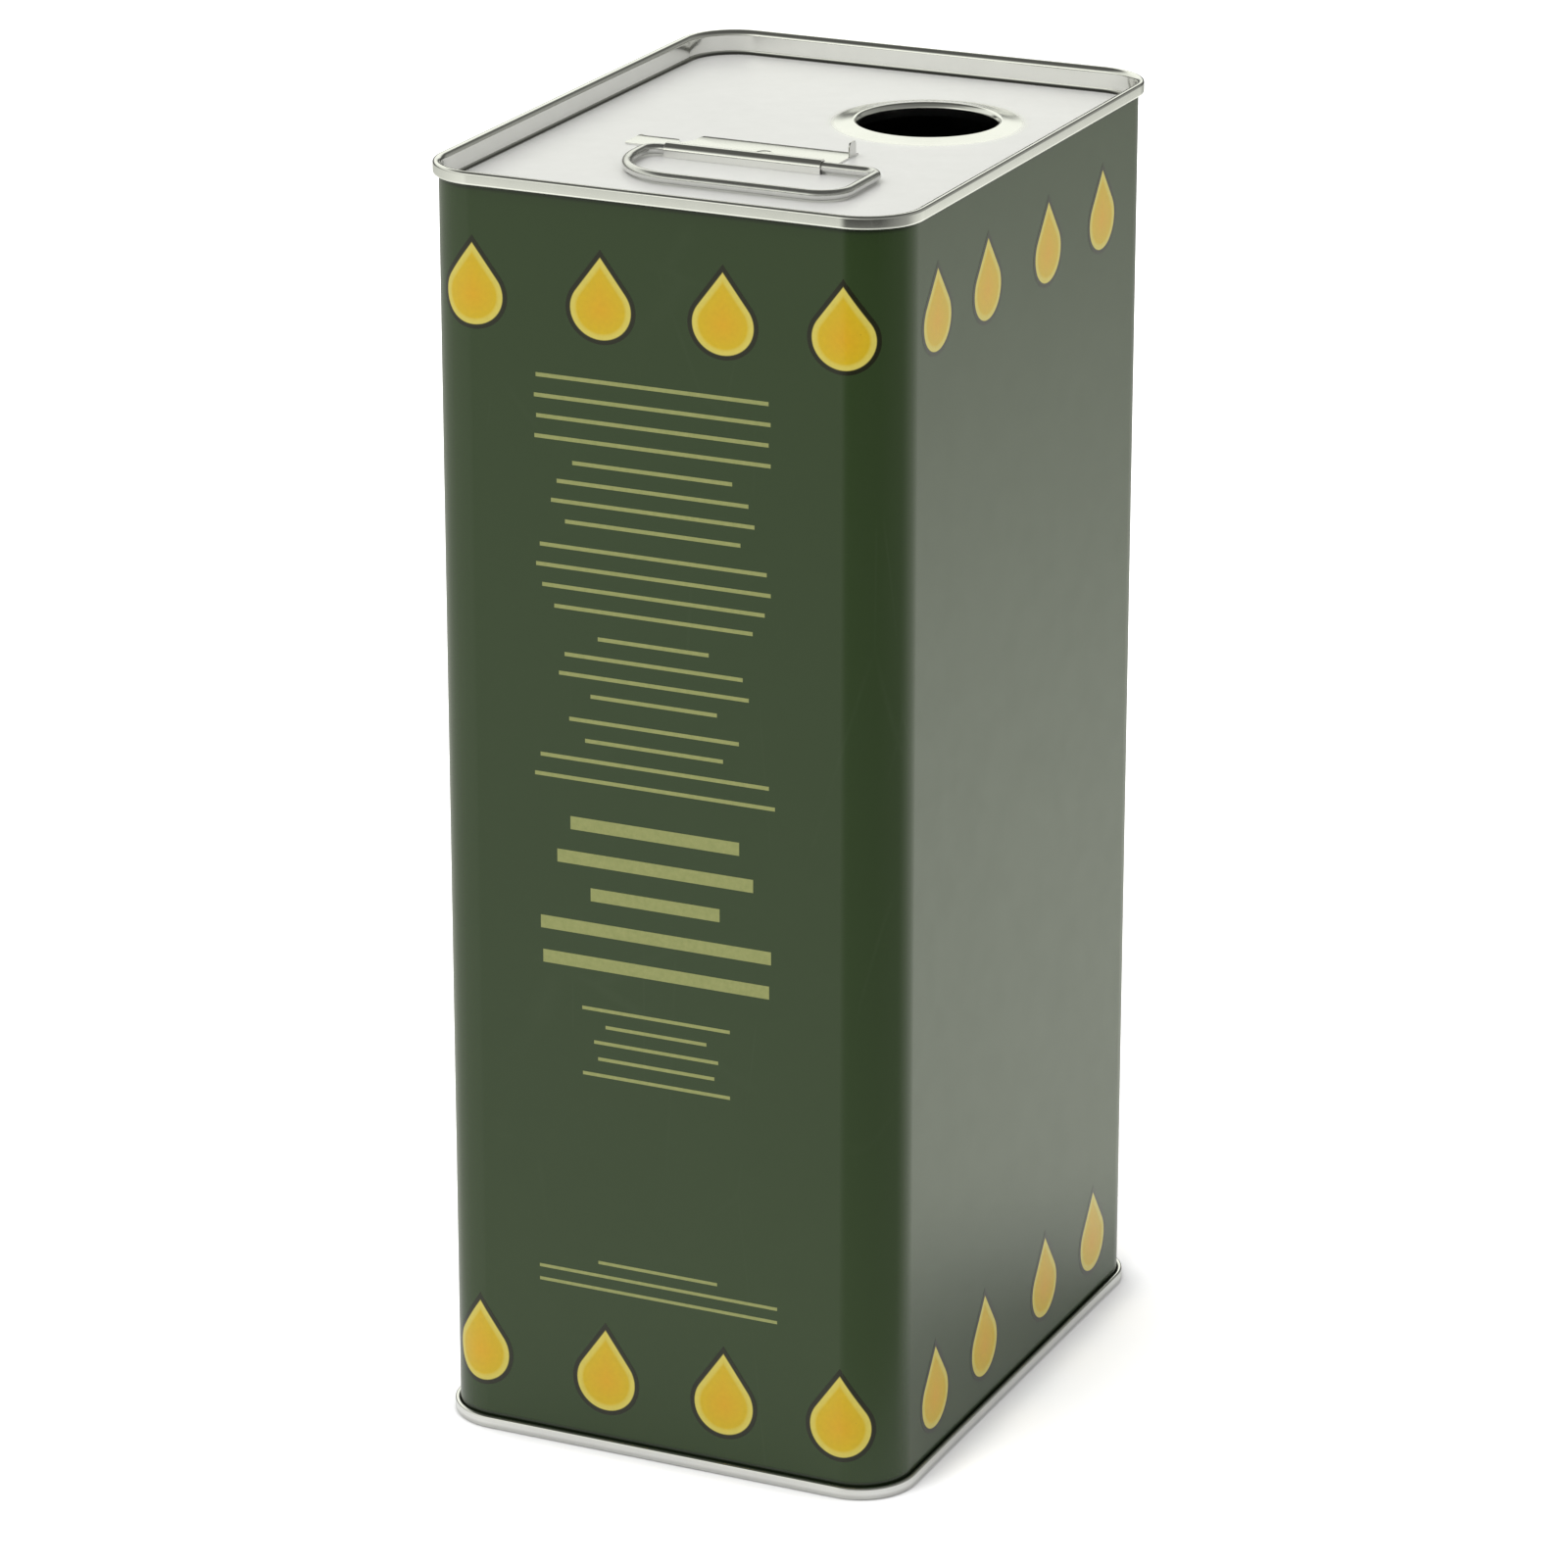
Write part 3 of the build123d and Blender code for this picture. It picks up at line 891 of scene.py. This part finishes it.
# Its rear edges are pressed down thin against the panel.
for edge_y in (strip_rear_y, ear_rear_y):
    bmesh.ops.bisect_plane(
        form, geom=form.verts[:] + form.edges[:] + form.faces[:],
        plane_co=(0.0, edge_y - pressed_width, 0.0), plane_no=(0.0, 1.0, 0.0),
    )
for vertex in form.verts:
    rear_y = strip_rear_y if vertex.co.x > strip_left_x - edge_tolerance else ear_rear_y
    on_top = abs(vertex.co.z - strip_top_z) < top_tolerance
    if on_top and abs(vertex.co.y - rear_y) < edge_tolerance:
        vertex.co.z -= pressed_by
sharp = [e for e in form.edges if len(e.link_faces) == 2 and e.calc_face_angle() > sharp_beyond]
bmesh.ops.bevel(form, geom=sharp, offset=strip_edge_round, segments=2, profile=0.5, affect="EDGES")
for face in form.faces:
    face.smooth = True
form.to_mesh(strip_mesh)
form.free()
strip_mesh.materials.clear()
strip_mesh.materials.append(bright_tin)
make_piece("handle_strip", strip_mesh, "can", ["handle_clip"], crease=40.0)


# Wire bail. A 2.5 mm tinned steel wire is bent into a rounded loop, its two ends meet inside the
# strip's roll, and it swings up about its straight side.
wire_radius = 1.25 * MM
bail_width = 61.2 * MM
bail_reach = 24.2 * MM
bail_left_grip = 17.0 * MM
bail_right_grip = 7.0 * MM
bail_heel = 3.6 * MM
bail_centre_x = 2.6 * MM
bail_axis_y = -24.0 * MM
bail_axis_z = 305.55 * MM
wire_end_gap = 0.6 * MM
wire_facets = 24
wire_bend_steps = 14

tinned_wire, shader, add, links = new_finish("tinned_wire")
place = add("ShaderNodeTexCoord").outputs["Object"]
cloud = add("ShaderNodeGroup", {"node_tree": sheet_cloud, "Scale": 40.0}, {"Vector": place})
scuff = add(
    "ShaderNodeGroup", {"node_tree": scratches, "Scale": 160.0, "Amount": 0.3}, {"Vector": place}
)
tone = blended(add, cloud.outputs["Mottle"], (0.66, 0.66, 0.65), (0.80, 0.80, 0.78))
gloss = graded(add, cloud.outputs["Mottle"], 0.18, 0.28)
cut = add("ShaderNodeBump", {"Strength": 0.3, "Distance": 0.00005}, {"Height": scuff.outputs["Height"]})
dress(shader, links, tone, gloss, cut.outputs[0])
shader.inputs["Metallic"].default_value = 1.0

wire_tree, tree_in, tree_out = new_tree(
    "wire_along_path", [("Wire Radius", "Float"), ("Facets", "Int"), ("Finish", "Material")]
)
wire_path = wire_tree.nodes.new("GeometryNodeMeshToCurve")
wire_ring = wire_tree.nodes.new("GeometryNodeCurvePrimitiveCircle")
wire_sweep = wire_tree.nodes.new("GeometryNodeCurveToMesh")
wire_sweep.inputs["Fill Caps"].default_value = True
wire_tree.links.new(tree_in.outputs["Geometry"], wire_path.inputs[0])
wire_tree.links.new(tree_in.outputs["Wire Radius"], wire_ring.inputs["Radius"])
wire_tree.links.new(tree_in.outputs["Facets"], wire_ring.inputs["Resolution"])
wire_tree.links.new(wire_path.outputs[0], wire_sweep.inputs["Curve"])
wire_tree.links.new(wire_ring.outputs[0], wire_sweep.inputs["Profile Curve"])
finish_tree(wire_tree, tree_in, tree_out, wire_sweep.outputs[0])

left_x = bail_centre_x - bail_width / 2 + wire_radius
right_x = bail_centre_x + bail_width / 2 - wire_radius
grip_y = bail_axis_y - bail_reach
wire_line, _ = bent_sheet(
    [
        (bail_centre_x + wire_end_gap / 2, bail_axis_y),
        (right_x, bail_axis_y),
        (right_x, grip_y),
        (left_x, grip_y),
        (left_x, bail_axis_y),
        (bail_centre_x - wire_end_gap / 2, bail_axis_y),
    ],
    [bail_heel, bail_right_grip, bail_left_grip, bail_heel],
    0.0,
    wire_bend_steps,
)
wire_base = bpy.data.meshes.new("wire_line")
wire_base.from_pydata(
    [(x, y, bail_axis_z) for x, y in wire_line], [(i, i + 1) for i in range(len(wire_line) - 1)], []
)
wire_mesh = grow(
    wire_tree, wire_base, {"Wire Radius": wire_radius, "Facets": wire_facets, "Finish": tinned_wire}
)
make_piece("bail_wire", wire_mesh, "bail", ["handle_bail"], crease=50.0, even=False)


# Floor and light. The can stands on a wide white table under a plain pale dome. What its gloss
# mirrors is the studio round it: bright panels behind it and in front, dark overhead.
table_reach = 4.0
shade_width = 12.0 * MM
shade_full = 0.5
shade_gone = 0.95
shaded_white = 0.9
plain_white = 1.75
table_mirrored_to = 70.0 * MM
table_gone_by = 170.0 * MM
sun_strength = 1.0
sun_spread = math.radians(40.0)
sun_direction = Vector((0.25, 0.40, -0.88))
dome_grey = 0.78
studio_tint = (0.98, 1.0, 0.905)

floor_mesh = bpy.data.meshes.new("floor")
table_corners = [(-1, -1), (1, -1), (1, 1), (-1, 1)]
floor_mesh.from_pydata([(x * table_reach, y * table_reach, 0) for x, y in table_corners], [], [(0, 1, 2, 3)])
floor = bpy.data.objects.new("floor", floor_mesh)
bpy.context.scene.collection.objects.link(floor)
floor_paint, shader, add, links = new_finish("floor_paint")
shader.inputs["Base Color"].default_value = (0.95, 0.95, 0.95, 1.0)
shader.inputs["Roughness"].default_value = 1.0
shader.inputs["Specular IOR Level"].default_value = 0.0
rays = add("ShaderNodeLightPath").outputs
# On top of its real shade, close to the foot the table's colour is darkened by ambient occlusion, a painted
# shadow of the can; further off it is plain white.
shade = add("ShaderNodeAmbientOcclusion", {"samples": 8, "Distance": shade_width})
whiter = graded(add, shade.outputs["AO"], shaded_white, plain_white, start=shade_full, end=shade_gone)
white = add("ShaderNodeBsdfDiffuse", wires={"Color": whiter})
surface = add(
    "ShaderNodeMixShader", wires={0: rays["Is Camera Ray"], 1: shader.outputs[0], 2: white.outputs[0]}
)
# Gloss mirrors the table near the can only and the studio beyond it, by the distance from the
# can's middle.
spot = add("ShaderNodeTexCoord").outputs["Object"]
away = add("ShaderNodeVectorMath", {"operation": "LENGTH"}, {0: spot})
beyond = add(
    "ShaderNodeMapRange",
    {"interpolation_type": "SMOOTHSTEP", "From Min": table_mirrored_to, "From Max": table_gone_by},
    {"Value": away.outputs["Value"]},
)
let_by = reckoned(add, "MULTIPLY", beyond.outputs[0], rays["Is Glossy Ray"])
gap = add("ShaderNodeBsdfTransparent")
table = add("ShaderNodeMixShader", wires={0: let_by, 1: surface.outputs[0], 2: gap.outputs[0]})
ending = next(node for node in floor_paint.node_tree.nodes if node.type == "OUTPUT_MATERIAL")
links.new(table.outputs[0], ending.inputs["Surface"])
floor_mesh.materials.append(floor_paint)

sun = bpy.data.objects.new("soft_sun", bpy.data.lights.new("soft_sun", "SUN"))
sun.data.energy = sun_strength
sun.data.angle = sun_spread
sun.rotation_mode = "QUATERNION"
sun.rotation_quaternion = sun_direction.to_track_quat("-Z", "Y")
sun.visible_glossy = False
bpy.context.scene.collection.objects.link(sun)

world = bpy.data.worlds.new("studio")
bpy.context.scene.world = world
world.use_nodes = True
add = wiring(world.node_tree)
dome = next(node for node in world.node_tree.nodes if node.type == "BACKGROUND")
rays = add("ShaderNodeLightPath").outputs
heading = add("ShaderNodeTexCoord").outputs["Generated"]
ways = add("ShaderNodeSeparateXYZ", wires={0: heading}).outputs
towards_front = reckoned(add, "MULTIPLY", ways["Y"], -1.0)
bearing = reckoned(add, "ARCTAN2", ways["X"], towards_front)
bearing_share = graded(add, bearing, 0.0, 1.0, start=-math.pi, end=math.pi)
elevation = reckoned(add, "ARCSINE", ways["Z"])

# Greys of the studio that gloss mirrors, one ring for each elevation from below the table to
# overhead, as (bearing from the front face towards the right one, grey). A colour ramp holds
# 0 to 1, so each grey is divided by the top of the scale there and multiplied by it after.
grey_scale_top = 1.6
studio_rings = [
    (-30, [
        (-180, 0.80), (-90, 0.85), (-35, 1.20), (-22, 1.10), (-10, 0.80), (60, 0.70), (90, 0.60),
        (105, 0.55), (125, 0.95), (155, 1.25), (180, 0.80),
    ]),
    (-20, [
        (-180, 0.80), (-90, 0.85), (-35, 1.10), (-22, 0.90), (-12, 0.35), (55, 0.35), (80, 0.40),
        (105, 0.40), (125, 0.95), (155, 1.50), (180, 0.80),
    ]),
    (-13, [
        (-180, 0.45), (-155, 0.40), (-120, 0.60), (-60, 0.80), (-35, 0.88), (-22, 0.60), (-12, 0.03),
        (52, 0.03), (80, 0.20), (105, 0.35), (125, 0.60), (150, 0.72), (180, 0.35),
    ]),
    (-4, [
        (-180, 0.06), (-120, 0.05), (-90, 0.30), (-60, 0.45), (-25, 0.50), (0, 0.20), (40, 0.20),
        (90, 0.30), (125, 0.30), (150, 0.30), (165, 0.10), (180, 0.06),
    ]),
    (8.5, [
        (-180, 0.06), (-155, 0.06), (-120, 0.06), (-90, 0.30), (-60, 0.80), (-25, 1.20), (0, 0.60),
        (40, 0.30), (90, 0.30), (125, 0.30), (155, 0.32), (166, 0.10), (180, 0.06),
    ]),
    (12.5, [
        (-180, 0.40), (-170, 1.10), (-140, 1.12), (-110, 0.90), (-60, 0.95), (-25, 1.45), (0, 0.70),
        (40, 0.40), (90, 0.30), (125, 0.30), (156, 0.32), (166, 0.08), (178, 0.12),
    ]),
    (36, [
        (-180, 0.70), (-170, 1.10), (-120, 1.10), (-70, 0.60), (-40, 0.25), (20, 0.20), (60, 0.20),
        (120, 0.20), (175, 0.12),
    ]),
    (48, [(-180, 0.10), (180, 0.10)]),
    (90, [(-180, 0.10), (180, 0.10)]),
]
mirrored = None
for (lower, _), (ring_elevation, greys) in zip([(-90, None)] + studio_rings, studio_rings):
    ramp = add("ShaderNodeValToRGB", wires={"Fac": bearing_share})
    while len(ramp.color_ramp.elements) < len(greys):
        ramp.color_ramp.elements.new(0.5)
    for element, (angle, grey) in zip(ramp.color_ramp.elements, greys):
        element.position = (angle + 180) / 360
        share = grey / grey_scale_top
        element.color = (share, share, share, 1.0)
    if mirrored is None:
        mirrored = ramp.outputs[0]
        continue
    risen = graded(
        add, elevation, 0.0, 1.0, start=math.radians(lower), end=math.radians(ring_elevation)
    )
    mirrored = add(
        "ShaderNodeMix", {"data_type": "RGBA"}, {0: risen, 6: mirrored, 7: ramp.outputs[0]}
    ).outputs[2]
warm = add(
    "ShaderNodeVectorMath",
    {"operation": "MULTIPLY", 1: tuple(grey_scale_top * share for share in studio_tint)},
    {0: mirrored},
)
lit = add(
    "ShaderNodeMix", {"data_type": "RGBA", 6: (dome_grey, dome_grey, dome_grey, 1.0)},
    {0: rays["Is Glossy Ray"], 7: warm.outputs[0]},
)
shown = add(
    "ShaderNodeMix", {"data_type": "RGBA", 7: (1.0, 1.0, 1.0, 1.0)},
    {0: rays["Is Camera Ray"], 6: lit.outputs[2]},
)
world.node_tree.links.new(shown.outputs[2], dome.inputs["Color"])
dome.inputs["Strength"].default_value = 1.0
